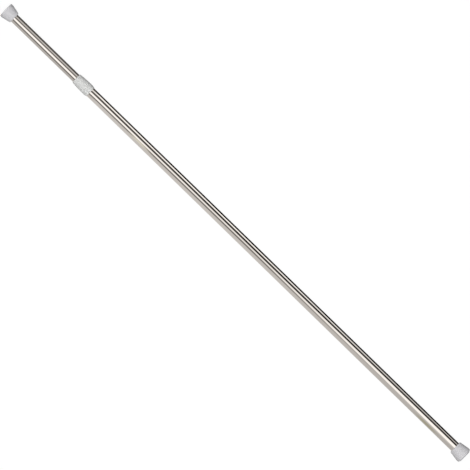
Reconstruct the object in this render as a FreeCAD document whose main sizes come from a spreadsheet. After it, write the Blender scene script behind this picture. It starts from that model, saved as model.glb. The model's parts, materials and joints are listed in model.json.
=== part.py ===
import FreeCAD, Part
import math
import os
import Sketcher

# Telescopic spring tension rod: two thin steel tubes, a moulded collar over the joint,
# a flared cup on each end, and a twist lock with a sprung plunger inside.
# Frame: +X along the rod, origin at the centre of the fixed cup's pad face, +Z up. Millimetres.

doc = FreeCAD.newDocument("tension_rod")
sheet = doc.addObject("Spreadsheet::Sheet", "Sizes")

driving_sizes = (
    # tubes
    ("outer_dia", 25.0, "outside of the larger tube"),
    ("outer_wall", 0.6, "wall of the larger tube"),
    ("outer_length", 1234.0, "length of the larger tube"),
    ("tube_gap", 0.9, "radial room between the two tubes"),
    ("inner_wall", 0.6, "wall of the smaller tube"),
    ("inner_length", 1017.8, "length of the smaller tube"),
    ("tube_showing", 201.0, "smaller tube that shows between collar and cup"),
    ("crimp_depth", 0.7, "how far the rolled crimp goes in"),
    ("crimp_base", 2.4, "flat bottom of the crimp"),
    ("crimp_place", 12.0, "crimp's middle, from the tube's inner end"),
    # collar
    ("collar_length", 46.3, "whole collar"),
    ("collar_socket", 22.0, "how far the larger tube goes in"),
    ("collar_small_wall", 1.9, "wall at the end the smaller tube leaves by"),
    ("collar_crest", 2.25, "height of the crest above the larger tube"),
    ("collar_crest_place", 9.0, "crest, from the end on the larger tube"),
    ("collar_lip", 0.9, "height of the end on the larger tube"),
    ("collar_edge", 1.0, "chamfer at the small end"),
    # cup on the larger tube
    ("fixed_cup_length", 30.4, "neck to rim"),
    ("fixed_neck_wall", 3.5, "wall of the neck"),
    ("fixed_flare", 3.75, "band beyond the neck"),
    ("fixed_band", 7.5, "straight band behind the rim"),
    ("fixed_round", 3.0, "rounding of the rim"),
    ("fixed_neck_edge", 1.0, "chamfer of the neck"),
    ("fixed_land", 0.6, "flat ring between rim and pad"),
    ("fixed_pad_proud", 1.5, "pad beyond the rim"),
    # cup on the smaller tube
    ("slide_cup_length", 28.3, "neck to rim"),
    ("slide_neck_wall", 3.2, "wall of the neck"),
    ("slide_flare", 4.85, "band beyond the neck"),
    ("slide_band", 6.6, "straight band behind the rim"),
    ("slide_round", 0.6, "rounding of the rim"),
    ("slide_neck_edge", 1.4, "chamfer of the neck"),
    ("slide_land", 1.4, "flat ring between rim and pad"),
    ("slide_pad_proud", 0.4, "pad beyond the rim"),
    # both cups and the collar
    ("pad_thick", 3.0, "friction pad"),
    ("pad_edge", 1.3, "chamfer of the pad's face"),
    ("pad_groove", 0.8, "depth and half width of the pad's grip groove"),
    ("groove_inset", 4.8, "grip groove, from the pad's rim"),
    ("pad_fit", 0.15, "room round the pad in its recess"),
    ("cup_web", 2.5, "web behind the pad"),
    ("socket_relief", 0.35, "socket wall to tube between the crush ribs"),
    ("crush_rib", 1.6, "width of a crush rib"),
    # plugs in the tube ends
    ("plug_flange", 1.5, "flange between tube end and web"),
    ("plug_depth", 20.0, "how far the plug goes into the tube"),
    ("plug_wall", 1.8, "wall of the plug"),
    ("plug_rib", 1.2, "width of a plug rib"),
    ("plug_rib_height", 0.7, "ribs beyond the plug's sleeve"),
    ("nose_dia", 8.0, "nose that snaps through the web"),
    # guide bush, glide ring and stop
    ("bush_flange", 3.0, "flange on the smaller tube's end"),
    ("bush_depth", 24.0, "how far the bush goes into the tube"),
    ("bush_edge", 1.0, "chamfer that leads the bush into the tube"),
    ("glide_length", 16.0, "glide ring"),
    ("glide_split", 1.5, "split of the glide ring"),
    ("washer_thick", 1.5, "stop washer and thrust washer"),
    ("stop_room", 2.0, "stop washer's rim to the smaller tube's bore"),
    ("stud_dia", 5.8, "turned end of the plunger rod"),
    ("stud_end", 1.5, "how far the turned end stands out of the nut"),
    ("nut_flats", 10.0, "stop nut across flats"),
    ("nut_thick", 5.0, "stop nut"),
    ("nut_edge", 0.5, "turned corners of the stop nut"),
    # spring and its seat
    ("wire_dia", 1.8, "spring wire"),
    ("spring_dia", 14.0, "spring at the middle of its wire"),
    ("spring_length", 105.0, "spring as fitted, rod at rest"),
    ("active_coils", 12.0, "coils between the closed ends"),
    ("seat_flange", 2.0, "flange of the spring seat"),
    ("seat_lip", 1.0, "seat and thrust washer beyond the spring"),
    ("spigot_room", 0.2, "spigot to the spring's inside, on the radius"),
    ("spigot_length", 6.0, "spigot that centres the spring"),
    ("spigot_wall", 0.9, "wall of the spigot"),
    # cam lock
    ("rod_flats", 6.0, "hexagonal plunger rod across flats"),
    ("socket_depth", 26.0, "rod in the cam"),
    ("boss_length", 18.0, "boss under the spring"),
    ("cam_flange", 3.0, "flange between spring and brake ring"),
    ("cam_gap", 0.6, "cam flange to tube bore"),
    ("journal_dia", 15.0, "eccentric journal"),
    ("throw", 0.6, "how far the journal is off centre"),
    ("lock_turn", 90.0, "turn from free to locked"),
    ("ring_length", 16.0, "brake ring"),
    ("ring_split", 2.5, "split of the brake ring"),
    ("grip_depth", 0.5, "grip grooves round the brake ring"),
    ("lug_angle", 20.0, "width of the stop lug"),
    ("lug_height", 3.0, "how far the lug reaches into the brake ring"),
    ("lug_play", 3.0, "free angle each side of the lug, past its turn"),
    ("disc_thick", 2.0, "retaining disc"),
    ("screw_dia", 3.4, "retaining screw's shank"),
    ("screw_length", 11.0, "retaining screw under its head"),
    ("head_dia", 6.6, "retaining screw's head"),
    ("head_height", 2.3, "retaining screw's head"),
    ("cross_span", 3.8, "cross recess, end to end"),
    ("cross_width", 0.95, "cross recess, one arm"),
    ("cross_depth", 1.4, "cross recess"),
    ("pin_dia", 2.0, "roll pin"),
    ("pin_wall", 0.4, "roll pin's sheet"),
    ("pin_place", 12.0, "roll pin, from the cam flange"),
    # clearances
    ("run_gap", 0.1, "running fit, on the radius"),
    ("seat_gap", 0.05, "fit of parts that don't move against each other"),
    ("side_gap", 0.3, "end float of the brake ring"),
)

for row, (alias, number, note) in enumerate(driving_sizes, start=1):
    sheet.set(f"A{row}", note)
    sheet.set(f"B{row}", str(number))
    sheet.setAlias(f"B{row}", alias)
doc.recompute()


def value(expression):
    """Number that an expression over the sheet gives."""
    return float(sheet.evalExpression(expression))


# Radii, as expressions over the sheet
outer_r = "(Sizes.outer_dia / 2)"
outer_bore = f"({outer_r} - Sizes.outer_wall)"
inner_r = f"({outer_bore} - Sizes.tube_gap)"
inner_bore = f"({inner_r} - Sizes.inner_wall)"
rod_corner = "(Sizes.rod_flats / 2 / cos(30))"
spring_inner = "(Sizes.spring_dia / 2 - Sizes.wire_dia / 2)"
spring_outer = "(Sizes.spring_dia / 2 + Sizes.wire_dia / 2)"
spigot_r = f"({spring_inner} - Sizes.spigot_room)"
boss_r = f"({spigot_r} - Sizes.spigot_wall - Sizes.seat_gap)"
journal_r = "(Sizes.journal_dia / 2)"
ring_bore = f"({journal_r} + 2 * Sizes.throw * sin(Sizes.lock_turn / 2) + Sizes.seat_gap / 2)"
ring_r = f"({outer_bore} - Sizes.run_gap)"
cam_r = f"({outer_bore} - Sizes.cam_gap)"
washer_r = f"({spring_outer} + Sizes.seat_lip)"
stop_r = f"({inner_bore} - Sizes.stop_room)"

# Places along the rod, as expressions over the sheet
pad_back = "Sizes.pad_thick"
web_back = "(Sizes.pad_thick + Sizes.cup_web)"
tube_start = f"({web_back} + Sizes.plug_flange)"
mouth = f"({tube_start} + Sizes.outer_length)"
collar_start = f"({mouth} - Sizes.collar_socket)"
collar_end = f"({collar_start} + Sizes.collar_length)"
slide_neck = f"({collar_end} + Sizes.tube_showing)"
overall = f"({slide_neck} + Sizes.slide_cup_length + Sizes.slide_pad_proud)"
inner_start = f"({overall} - {tube_start} - Sizes.inner_length)"
bush_start = f"({inner_start} - Sizes.bush_flange)"
thrust_start = f"({bush_start} - Sizes.washer_thick)"
spring_start = f"({thrust_start} - Sizes.spring_length)"
seat_start = f"({spring_start} - Sizes.seat_flange)"
journal_length = "(Sizes.ring_length + 2 * Sizes.side_gap)"
flange_top = f"({journal_length} + Sizes.cam_flange)"
boss_top = f"({flange_top} + Sizes.boss_length)"
cam_start = f"({seat_start} - {flange_top})"
ring_start = f"({cam_start} + Sizes.side_gap)"
disc_start = f"({cam_start} - Sizes.disc_thick)"
screw_start = f"({disc_start} - Sizes.head_height)"
rod_start = f"({cam_start} + {boss_top} - Sizes.socket_depth + Sizes.side_gap)"
stop_start = f"({inner_start} + Sizes.bush_depth + Sizes.run_gap)"
nut_start = f"({stop_start} + Sizes.washer_thick)"
pin_centre = f"({seat_start} + Sizes.pin_place)"

# Angles about the rod, from +Y towards +Z, in degrees. The brake ring is thin at the bottom.
thin_side = -90
locked_side = f"({thin_side} + Sizes.lock_turn)"
lug_rest = f"({thin_side} + 180 + Sizes.lock_turn / 2)"

# Ribs in each socket and on each plug, and grip grooves round the brake ring
rib_count = 6
grip_count = 4


def new_body(name, start, flipped=False):
    """Body whose own x = 0 lies at a place along the rod; a flipped one looks back along it."""
    body = doc.addObject("PartDesign::Body", name)
    body.Label = name
    if flipped:
        body.Placement = FreeCAD.Placement(FreeCAD.Vector(), FreeCAD.Rotation(FreeCAD.Vector(0, 0, 1), 180))
    body.setExpression(".Placement.Base.x", start)
    return body


def origin_part(body, role):
    """Plane or axis of the body's own origin."""
    return next(f for f in body.Origin.OriginFeatures if f.Role == role)


def new_sketch(body, name, plane, lift=None):
    """Empty sketch on an origin plane, lifted along its normal if asked."""
    sketch = body.newObject("Sketcher::SketchObject", name)
    sketch.AttachmentSupport = (origin_part(body, plane), [""])
    sketch.MapMode = "FlatFace"
    if lift:
        sketch.setExpression(".AttachmentOffset.Base.z", lift)
    return sketch


def bind(sketch, kind, where, expression):
    """Dimension whose size follows an expression."""
    number = sketch.addConstraint(Sketcher.Constraint(kind, *where, value(expression)))
    if expression != "0":
        sketch.setExpression(f"Constraints[{number}]", expression)


def arc_between(start, end, radius):
    """Anticlockwise arc that bulges to the left of the way from start to end."""
    middle = (start + end) / 2
    half = (end - start) / 2
    reach = math.sqrt(radius**2 - half.Length**2)
    away = FreeCAD.Vector(half.y, -half.x, 0).normalize() * reach
    centre = middle + away
    first = math.atan2(end.y - centre.y, end.x - centre.x)
    last = math.atan2(start.y - centre.y, start.x - centre.x)
    while last < first:
        last += 2 * math.pi
    return Part.ArcOfCircle(Part.Circle(centre, FreeCAD.Vector(0, 0, 1), radius), first, last)


def outline(sketch, corners):
    """Closed outline through corners (x, y) or (x, y, radius of an arc to the next corner)."""
    points = [FreeCAD.Vector(value(c[0]), value(c[1]), 0) for c in corners]
    ends = []
    for i, corner in enumerate(corners):
        start = points[i]
        end = points[(i + 1) % len(corners)]
        if len(corner) == 3:
            sketch.addGeometry(arc_between(start, end, value(corner[2])), False)
            ends.append((2, 1))
        else:
            sketch.addGeometry(Part.LineSegment(start, end), False)
            ends.append((1, 2))
    for i, corner in enumerate(corners):
        after = (i + 1) % len(corners)
        sketch.addConstraint(Sketcher.Constraint("Coincident", i, ends[i][1], after, ends[after][0]))
        bind(sketch, "DistanceX", (-1, 1, i, ends[i][0]), corner[0])
        bind(sketch, "DistanceY", (-1, 1, i, ends[i][0]), corner[1])
        if len(corner) == 3:
            bind(sketch, "Radius", (i,), corner[2])


def circle(sketch, across, up, radius):
    """Full circle with its centre and radius bound."""
    middle = FreeCAD.Vector(value(across), value(up), 0)
    number = sketch.addGeometry(Part.Circle(middle, FreeCAD.Vector(0, 0, 1), value(radius)), False)
    bind(sketch, "DistanceX", (-1, 1, number, 3), across)
    bind(sketch, "DistanceY", (-1, 1, number, 3), up)
    bind(sketch, "Radius", (number,), radius)


def turned(body, name, corners, kind="PartDesign::Revolution"):
    """Turned form, or a turned cut, about the rod's axis, from an outline of (x, radius)."""
    sketch = new_sketch(body, name + "_outline", "XY_Plane")
    outline(sketch, corners)
    feature = body.newObject(kind, name)
    feature.Profile = sketch
    feature.ReferenceAxis = (sketch, ["H_Axis"])
    feature.Angle = 360
    return feature


def padded(body, name, sketch, length):
    """Pad along the rod."""
    feature = body.newObject("PartDesign::Pad", name)
    feature.Profile = sketch
    feature.setExpression("Length", length)
    return feature


def pocketed(body, name, sketch, length=None, both_ways=False):
    """Pocket along the sketch's normal, to a length or right through."""
    feature = body.newObject("PartDesign::Pocket", name)
    feature.Profile = sketch
    feature.Reversed = True
    if both_ways:
        feature.SideType = "Symmetric"
    if length:
        feature.setExpression("Length", length)
    else:
        feature.Type = "ThroughAll"
    return feature


def hex_socket(body, name, start, corner, depth):
    """Hexagonal hole along the rod."""
    feature = body.newObject("PartDesign::SubtractivePrism", name)
    feature.AttachmentSupport = (origin_part(body, "YZ_Plane"), [""])
    feature.MapMode = "FlatFace"
    feature.setExpression(".AttachmentOffset.Base.z", start)
    feature.Polygon = 6
    feature.setExpression("Circumradius", corner)
    feature.setExpression("Height", depth)
    return feature


def round_the_rod(body, name, feature, count):
    """The feature repeated about the rod's axis."""
    pattern = body.newObject("PartDesign::PolarPattern", name)
    pattern.Originals = [feature]
    pattern.Axis = (origin_part(body, "X_Axis"), [""])
    pattern.Angle = 360
    pattern.Occurrences = count
    body.Tip = pattern
    return pattern


def along_the_rod(body, name, feature, length, count):
    """The feature repeated along the rod."""
    pattern = body.newObject("PartDesign::LinearPattern", name)
    pattern.Originals = [feature]
    pattern.Direction = (origin_part(body, "X_Axis"), [""])
    pattern.setExpression("Length", length)
    pattern.Occurrences = count
    body.Tip = pattern
    return pattern


def straight_rib(body, name, start, length, inner, outer, width):
    """Radial rib along the rod, on the +Y side."""
    sketch = new_sketch(body, name + "_outline", "YZ_Plane", start)
    low = f"(-{width} / 2)"
    high = f"({width} / 2)"
    outline(sketch, [(inner, low), (outer, low), (outer, high), (inner, high)])
    return padded(body, name, sketch, length)


def make_outer_tube():
    """Larger tube: thin rolled steel, deburred at both ends."""
    body = new_body("outer_tube", tube_start)
    sketch = new_sketch(body, "ring", "YZ_Plane")
    circle(sketch, "0", "0", outer_r)
    circle(sketch, "0", "0", outer_bore)
    padded(body, "length", sketch, "Sizes.outer_length")
    return body


def make_inner_tube():
    """Smaller tube, with the rolled crimp that holds its guide bush."""
    body = new_body("inner_tube", inner_start)
    near = "(Sizes.crimp_place - Sizes.crimp_base / 2)"
    far = "(Sizes.crimp_place + Sizes.crimp_base / 2)"
    slope = "Sizes.crimp_depth"
    dip = "Sizes.crimp_depth"
    turned(body, "wall", [
        ("0", inner_r),
        (f"{near} - {slope}", inner_r),
        (near, f"{inner_r} - {dip}"),
        (far, f"{inner_r} - {dip}"),
        (f"{far} + {slope}", inner_r),
        ("Sizes.inner_length", inner_r),
        ("Sizes.inner_length", inner_bore),
        (f"{far} + {slope}", inner_bore),
        (far, f"{inner_bore} - {dip}"),
        (near, f"{inner_bore} - {dip}"),
        (f"{near} - {slope}", inner_bore),
        ("0", inner_bore),
    ])
    return body


def make_collar():
    """Moulded collar: pressed on the larger tube, it guides the smaller one and hides the step."""
    body = new_body("joint_collar", collar_start)
    socket = f"({outer_r} + Sizes.socket_relief)"
    guide = f"({inner_r} + Sizes.run_gap)"
    lip = f"({outer_r} + Sizes.collar_lip)"
    crest = f"({outer_r} + Sizes.collar_crest)"
    small = f"({inner_r} + Sizes.collar_small_wall)"
    front = "Sizes.collar_crest_place"
    rear = f"(Sizes.collar_length - {front})"
    front_drop = f"({crest} - {lip})"
    rear_drop = f"({crest} - {small})"
    turned(body, "shell", [
        ("0", socket),
        ("0", lip, f"({front}^2 + {front_drop}^2) / (2 * {front_drop})"),
        (front, crest, f"({rear}^2 + {rear_drop}^2) / (2 * {rear_drop})"),
        ("Sizes.collar_length", small),
        ("Sizes.collar_length", guide),
        ("Sizes.collar_socket", guide),
        ("Sizes.collar_socket", socket),
    ])
    edge = "Sizes.collar_edge"
    turned(body, "end_chamfer", [
        (f"Sizes.collar_length - {edge}", f"{small} + {edge}"),
        (f"Sizes.collar_length - {edge}", small),
        ("Sizes.collar_length", f"{small} - {edge}"),
        (f"Sizes.collar_length + {edge}", f"{small} - {edge}"),
        (f"Sizes.collar_length + {edge}", f"{small} + {edge}"),
    ], "PartDesign::Groove")
    rib = straight_rib(
        body, "crush_rib", "Sizes.collar_edge", "Sizes.collar_socket - Sizes.collar_edge",
        f"{outer_r} + Sizes.seat_gap / 2", f"{socket} + Sizes.socket_relief", "Sizes.crush_rib",
    )
    round_the_rod(body, "crush_ribs", rib, rib_count)
    return body


def make_cup(name, start, flipped, tube_r, end):
    """Flared cup with a banded rim, moulded in one: pad recess, web, and a ribbed socket on the tube."""
    body = new_body(name, start, flipped)
    proud = f"Sizes.{end}_pad_proud"
    neck_x = f"({proud} + Sizes.{end}_cup_length)"
    neck_r = f"({tube_r} + Sizes.{end}_neck_wall)"
    edge = f"Sizes.{end}_neck_edge"
    slope = f"(Sizes.{end}_flare / (Sizes.{end}_cup_length - Sizes.{end}_band))"
    round_r = f"Sizes.{end}_round"
    rim_r = rim_radius(tube_r, end)
    socket = f"({tube_r} + Sizes.socket_relief)"
    hole = "(Sizes.nose_dia / 2 + Sizes.seat_gap)"
    turned(body, "shell", [
        (proud, f"{rim_r} - Sizes.{end}_land"),
        (proud, rim_r, round_r),
        (f"{proud} + {round_r}", f"{rim_r} + {round_r}"),
        (f"{proud} + Sizes.{end}_band", f"{rim_r} + {round_r}"),
        (f"{neck_x} - {edge}", f"{neck_r} + {edge} * {slope}"),
        (neck_x, f"{neck_r} - {edge}"),
        (neck_x, socket),
        (web_back, socket),
        (web_back, hole),
        (pad_back, hole),
        (pad_back, f"{rim_r} - Sizes.{end}_land"),
    ])
    rib = straight_rib(
        body, "crush_rib", web_back, f"{neck_x} - {web_back} - {edge}",
        f"{tube_r} + Sizes.seat_gap / 2", f"{socket} + Sizes.socket_relief", "Sizes.crush_rib",
    )
    round_the_rod(body, "crush_ribs", rib, rib_count)
    return body


def rim_radius(tube_r, end):
    """Radius at which the flat of a cup's rim meets its rounding."""
    return f"({tube_r} + Sizes.{end}_neck_wall + Sizes.{end}_flare - Sizes.{end}_round)"


def make_plug(name, start, flipped, bore, tube_r):
    """Ribbed plug that stiffens a tube's end; its nose snaps through the cup's web."""
    body = new_body(name, start, flipped)
    ribs = f"({bore} - Sizes.seat_gap)"
    sleeve = f"({ribs} - Sizes.plug_rib_height)"
    inside = f"({sleeve} - Sizes.plug_wall)"
    nose = "(Sizes.nose_dia / 2)"
    hole = f"({nose} - Sizes.plug_wall)"
    floor = "(Sizes.cup_web + Sizes.plug_flange)"
    end = f"({floor} + Sizes.plug_depth)"
    turned(body, "shell", [
        ("0", hole),
        ("0", nose),
        ("Sizes.cup_web", nose),
        ("Sizes.cup_web", tube_r),
        (floor, tube_r),
        (floor, sleeve),
        (f"{end} - Sizes.plug_wall / 2", sleeve),
        (end, f"{sleeve} - Sizes.plug_wall / 2"),
        (end, inside),
        (f"{floor} + Sizes.plug_wall", inside),
        (f"{floor} + Sizes.plug_wall", hole),
    ])
    rib = straight_rib(
        body, "rib", floor, "Sizes.plug_depth - Sizes.plug_wall",
        f"{sleeve} - Sizes.plug_wall / 2", ribs, "Sizes.plug_rib",
    )
    round_the_rod(body, "ribs", rib, rib_count)
    return body


def make_pad(name, start, flipped, tube_r, end):
    """Soft friction pad in the cup's recess, with one grip groove."""
    body = new_body(name, start, flipped)
    pad_r = f"({rim_radius(tube_r, end)} - Sizes.{end}_land - Sizes.pad_fit)"
    edge = f"min(Sizes.pad_edge; Sizes.{end}_pad_proud)"
    turned(body, "disc", [
        ("0", "0"),
        ("0", f"{pad_r} - {edge}"),
        (edge, pad_r),
        (pad_back, pad_r),
        (pad_back, "0"),
    ])
    groove = "Sizes.pad_groove"
    groove_r = f"({pad_r} - Sizes.groove_inset)"
    turned(body, "grip_groove", [
        ("0", f"{groove_r} - {groove}"),
        (groove, groove_r),
        ("0", f"{groove_r} + {groove}"),
    ], "PartDesign::Groove")
    return body


def make_guide_bush():
    """Bush in the smaller tube's inner end: the rod slides in its hexagonal bore."""
    body = new_body("guide_bush", bush_start)
    flange = "Sizes.bush_flange"
    body_r = f"({inner_bore} - Sizes.seat_gap)"
    waist = f"({body_r} - Sizes.crimp_depth)"
    half = "(Sizes.crimp_base / 2 + Sizes.crimp_depth)"
    end = f"({flange} + Sizes.bush_depth)"
    turned(body, "blank", [
        ("0", "0"),
        ("0", f"{inner_r} - Sizes.run_gap"),
        (flange, f"{inner_r} - Sizes.run_gap"),
        (flange, body_r),
        (f"{flange} + Sizes.crimp_place - {half}", body_r),
        (f"{flange} + Sizes.crimp_place - Sizes.crimp_base / 2", waist),
        (f"{flange} + Sizes.crimp_place + Sizes.crimp_base / 2", waist),
        (f"{flange} + Sizes.crimp_place + {half}", body_r),
        (f"{end} - Sizes.bush_edge", body_r),
        (end, f"{body_r} - Sizes.bush_edge"),
        (end, "0"),
    ])
    corner = f"{rod_corner} + Sizes.run_gap"
    hex_socket(body, "rod_way", "-Sizes.side_gap", corner, f"{end} + 2 * Sizes.side_gap")
    return body


def make_glide_ring():
    """Split ring snapped into the crimp, it keeps the smaller tube central in the larger one."""
    body = new_body("glide_ring", f"{inner_start} + Sizes.crimp_place - Sizes.glide_length / 2")
    middle = "(Sizes.glide_length / 2)"
    hub = f"({inner_r} + Sizes.seat_gap)"
    bead = f"({inner_r} - Sizes.crimp_depth + Sizes.seat_gap)"
    wide = "(Sizes.crimp_base / 2 + Sizes.crimp_depth)"
    turned(body, "band", [
        ("0", hub),
        ("0", ring_r),
        ("Sizes.glide_length", ring_r),
        ("Sizes.glide_length", hub),
        (f"{middle} + {wide} - Sizes.seat_gap * 2", hub),
        (f"{middle} + Sizes.crimp_base / 2 - Sizes.seat_gap", bead),
        (f"{middle} - Sizes.crimp_base / 2 + Sizes.seat_gap", bead),
        (f"{middle} - {wide} + Sizes.seat_gap * 2", hub),
    ])
    half = "(Sizes.glide_split / 2)"
    sketch = new_sketch(body, "split_outline", "YZ_Plane")
    outline(sketch, [
        (f"{bead} - Sizes.crimp_depth", f"-{half}"),
        (f"{outer_bore} + Sizes.run_gap", f"-{half}"),
        (f"{outer_bore} + Sizes.run_gap", half),
        (f"{bead} - Sizes.crimp_depth", half),
    ])
    pocketed(body, "split", sketch)
    return body


def make_washer(name, start, bore, rim):
    """Plain round washer."""
    body = new_body(name, start)
    turned(body, "washer", [
        ("0", bore),
        ("0", rim),
        ("Sizes.washer_thick", rim),
        ("Sizes.washer_thick", bore),
    ])
    return body


def make_spring_seat():
    """Flanged seat on the cam's boss, its spigot centres the spring."""
    body = new_body("spring_seat", seat_start)
    bore = f"({boss_r} + Sizes.seat_gap)"
    end = "(Sizes.seat_flange + Sizes.spigot_length)"
    turned(body, "seat", [
        ("0", bore),
        ("0", washer_r),
        ("Sizes.seat_flange", washer_r),
        ("Sizes.seat_flange", spigot_r),
        (f"{end} - Sizes.spigot_wall / 2", spigot_r),
        (end, f"{spigot_r} - Sizes.spigot_wall / 2"),
        (end, bore),
    ])
    return body


def make_cam():
    """Moulded cam: off-centre journal, flange with the stop lug, and the boss that holds the rod."""
    body = new_body("lock_cam", cam_start)
    sketch = new_sketch(body, "journal_circle", "YZ_Plane")
    circle(sketch, f"Sizes.throw * cos({locked_side})", f"Sizes.throw * sin({locked_side})", journal_r)
    padded(body, "journal", sketch, journal_length)
    sketch = new_sketch(body, "flange_circle", "YZ_Plane", journal_length)
    circle(sketch, "0", "0", cam_r)
    padded(body, "flange", sketch, "Sizes.cam_flange")
    sketch = new_sketch(body, "boss_circle", "YZ_Plane", flange_top)
    circle(sketch, "0", "0", boss_r)
    padded(body, "boss", sketch, "Sizes.boss_length")
    sketch = new_sketch(body, "lug_outline", "YZ_Plane", f"{journal_length} - Sizes.lug_height")
    outline(sketch, sector(f"({ring_bore} + Sizes.throw + Sizes.side_gap)", f"({ring_r} - Sizes.side_gap * 2)",
                           f"{lug_rest} - Sizes.lug_angle / 2", f"{lug_rest} + Sizes.lug_angle / 2"))
    padded(body, "lug", sketch, "Sizes.lug_height")
    socket_floor = f"({boss_top} - Sizes.socket_depth)"
    hex_socket(body, "rod_socket", socket_floor, f"{rod_corner} + Sizes.seat_gap",
               "Sizes.socket_depth + Sizes.side_gap")
    sketch = new_sketch(body, "screw_circle", "YZ_Plane")
    circle(sketch, "0", "0", "Sizes.screw_dia / 2 + Sizes.seat_gap")
    pocketed(body, "screw_hole", sketch, "Sizes.screw_length - Sizes.disc_thick + Sizes.side_gap")
    sketch = new_sketch(body, "pin_circle", "XY_Plane")
    circle(sketch, f"{flange_top} + Sizes.pin_place", "0", "Sizes.pin_dia / 2 + Sizes.seat_gap")
    pocketed(body, "pin_hole", sketch, both_ways=True)
    return body


def sector(near, far, first, last):
    """Corners of a slab between two radii and two angles about the rod."""
    return [
        (f"{near} * cos({first})", f"{near} * sin({first})"),
        (f"{far} * cos({first})", f"{far} * sin({first})"),
        (f"{far} * cos({last})", f"{far} * sin({last})"),
        (f"{near} * cos({last})", f"{near} * sin({last})"),
    ]


def make_brake_ring():
    """Split ring on the cam: the journal spreads it against the larger tube's bore."""
    body = new_body("brake_ring", ring_start)
    sketch = new_sketch(body, "ring_circles", "YZ_Plane")
    circle(sketch, "0", "0", ring_r)
    circle(sketch, f"Sizes.throw * cos({thin_side})", f"Sizes.throw * sin({thin_side})", ring_bore)
    padded(body, "ring", sketch, "Sizes.ring_length")
    # notch that lets the cam's lug turn from locked to free
    play = "(Sizes.lug_angle / 2 + Sizes.lug_play)"
    first = f"({lug_rest} - Sizes.lock_turn - {play})"
    last = f"({lug_rest} + {play})"
    reach = "Sizes.outer_dia"
    notch_floor = "Sizes.ring_length - Sizes.lug_height - Sizes.side_gap"
    sketch = new_sketch(body, "notch_outline", "YZ_Plane", notch_floor)
    outline(sketch, [
        ("0", "0"),
        (f"{reach} * cos({first})", f"{reach} * sin({first})"),
        (f"{reach} * cos(({first} + {last}) / 2)", f"{reach} * sin(({first} + {last}) / 2)"),
        (f"{reach} * cos({last})", f"{reach} * sin({last})"),
    ])
    pocketed(body, "notch", sketch)
    half = "(Sizes.ring_split / 2)"
    sketch = new_sketch(body, "split_outline", "YZ_Plane")
    outline(sketch, [
        (f"-{half}", "-Sizes.outer_dia"),
        (half, "-Sizes.outer_dia"),
        (half, f"-{half}"),
        (f"-{half}", f"-{half}"),
    ])
    pocketed(body, "split", sketch)
    # grip grooves, evenly spaced below the notch
    depth = "Sizes.grip_depth"
    groove = turned(body, "grip_groove", [
        (f"2 * {depth}", f"{ring_r} + {depth}"),
        (f"3 * {depth}", f"{ring_r} - {depth}"),
        (f"5 * {depth}", f"{ring_r} - {depth}"),
        (f"6 * {depth}", f"{ring_r} + {depth}"),
    ], "PartDesign::Groove")
    along_the_rod(body, "grip_grooves", groove, f"{notch_floor} - 8 * Sizes.grip_depth", grip_count)
    return body


def make_retaining_disc():
    """Disc that holds the brake ring on the journal."""
    body = new_body("retaining_disc", disc_start)
    turned(body, "disc", [
        ("0", "Sizes.screw_dia / 2 + Sizes.run_gap"),
        ("0", f"{cam_r} - Sizes.disc_thick / 2"),
        ("Sizes.disc_thick / 2", cam_r),
        ("Sizes.disc_thick", cam_r),
        ("Sizes.disc_thick", "Sizes.screw_dia / 2 + Sizes.run_gap"),
    ])
    return body


def make_retaining_screw():
    """Pan-head screw with a cross recess, threads left plain."""
    body = new_body("retaining_screw", screw_start)
    head = "Sizes.head_height"
    shank = "(Sizes.screw_dia / 2)"
    tip = f"({head} + Sizes.screw_length)"
    turned(body, "blank", [
        ("0", "0"),
        ("0", f"Sizes.head_dia / 2 - {head} / 2"),
        (f"{head} / 2", "Sizes.head_dia / 2"),
        (head, "Sizes.head_dia / 2"),
        (head, shank),
        (f"{tip} - {shank}", shank),
        (tip, f"{shank} / 4"),
        (tip, "0"),
    ])
    arm = "(Sizes.cross_span / 2)"
    slot = "(Sizes.cross_width / 2)"
    for name, wide, tall in (("slot_across", arm, slot), ("slot_up", slot, arm)):
        sketch = new_sketch(body, name + "_outline", "YZ_Plane")
        outline(sketch, [(f"-{wide}", f"-{tall}"), (wide, f"-{tall}"), (wide, tall), (f"-{wide}", tall)])
        pocketed(body, name, sketch, "Sizes.cross_depth")
    return body


def axis_along_x(feature, start):
    """Primitive turned so that its height runs along the rod and its first corner is on +Y."""
    cyclic = FreeCAD.Rotation(FreeCAD.Vector(1, 1, 1), 120)
    feature.Placement = FreeCAD.Placement(FreeCAD.Vector(), cyclic)
    feature.setExpression(".Placement.Base.x", start)
    return feature


def round_bar(name, start, radius, length):
    """Cylinder along the rod."""
    bar = doc.addObject("Part::Cylinder", name)
    bar.setExpression("Radius", radius)
    bar.setExpression("Height", length)
    return axis_along_x(bar, start)


def hex_bar(name, start, corner, length):
    """Hexagonal prism along the rod, corners where the sockets have theirs."""
    bar = doc.addObject("Part::Prism", name)
    bar.Polygon = 6
    bar.setExpression("Circumradius", corner)
    bar.setExpression("Height", length)
    return axis_along_x(bar, start)


def boolean(kind, name, base, tool):
    """Cut, fuse or common of two objects."""
    result = doc.addObject(kind, name)
    result.Base = base
    result.Tool = tool
    result.Label = name
    return result


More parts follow.
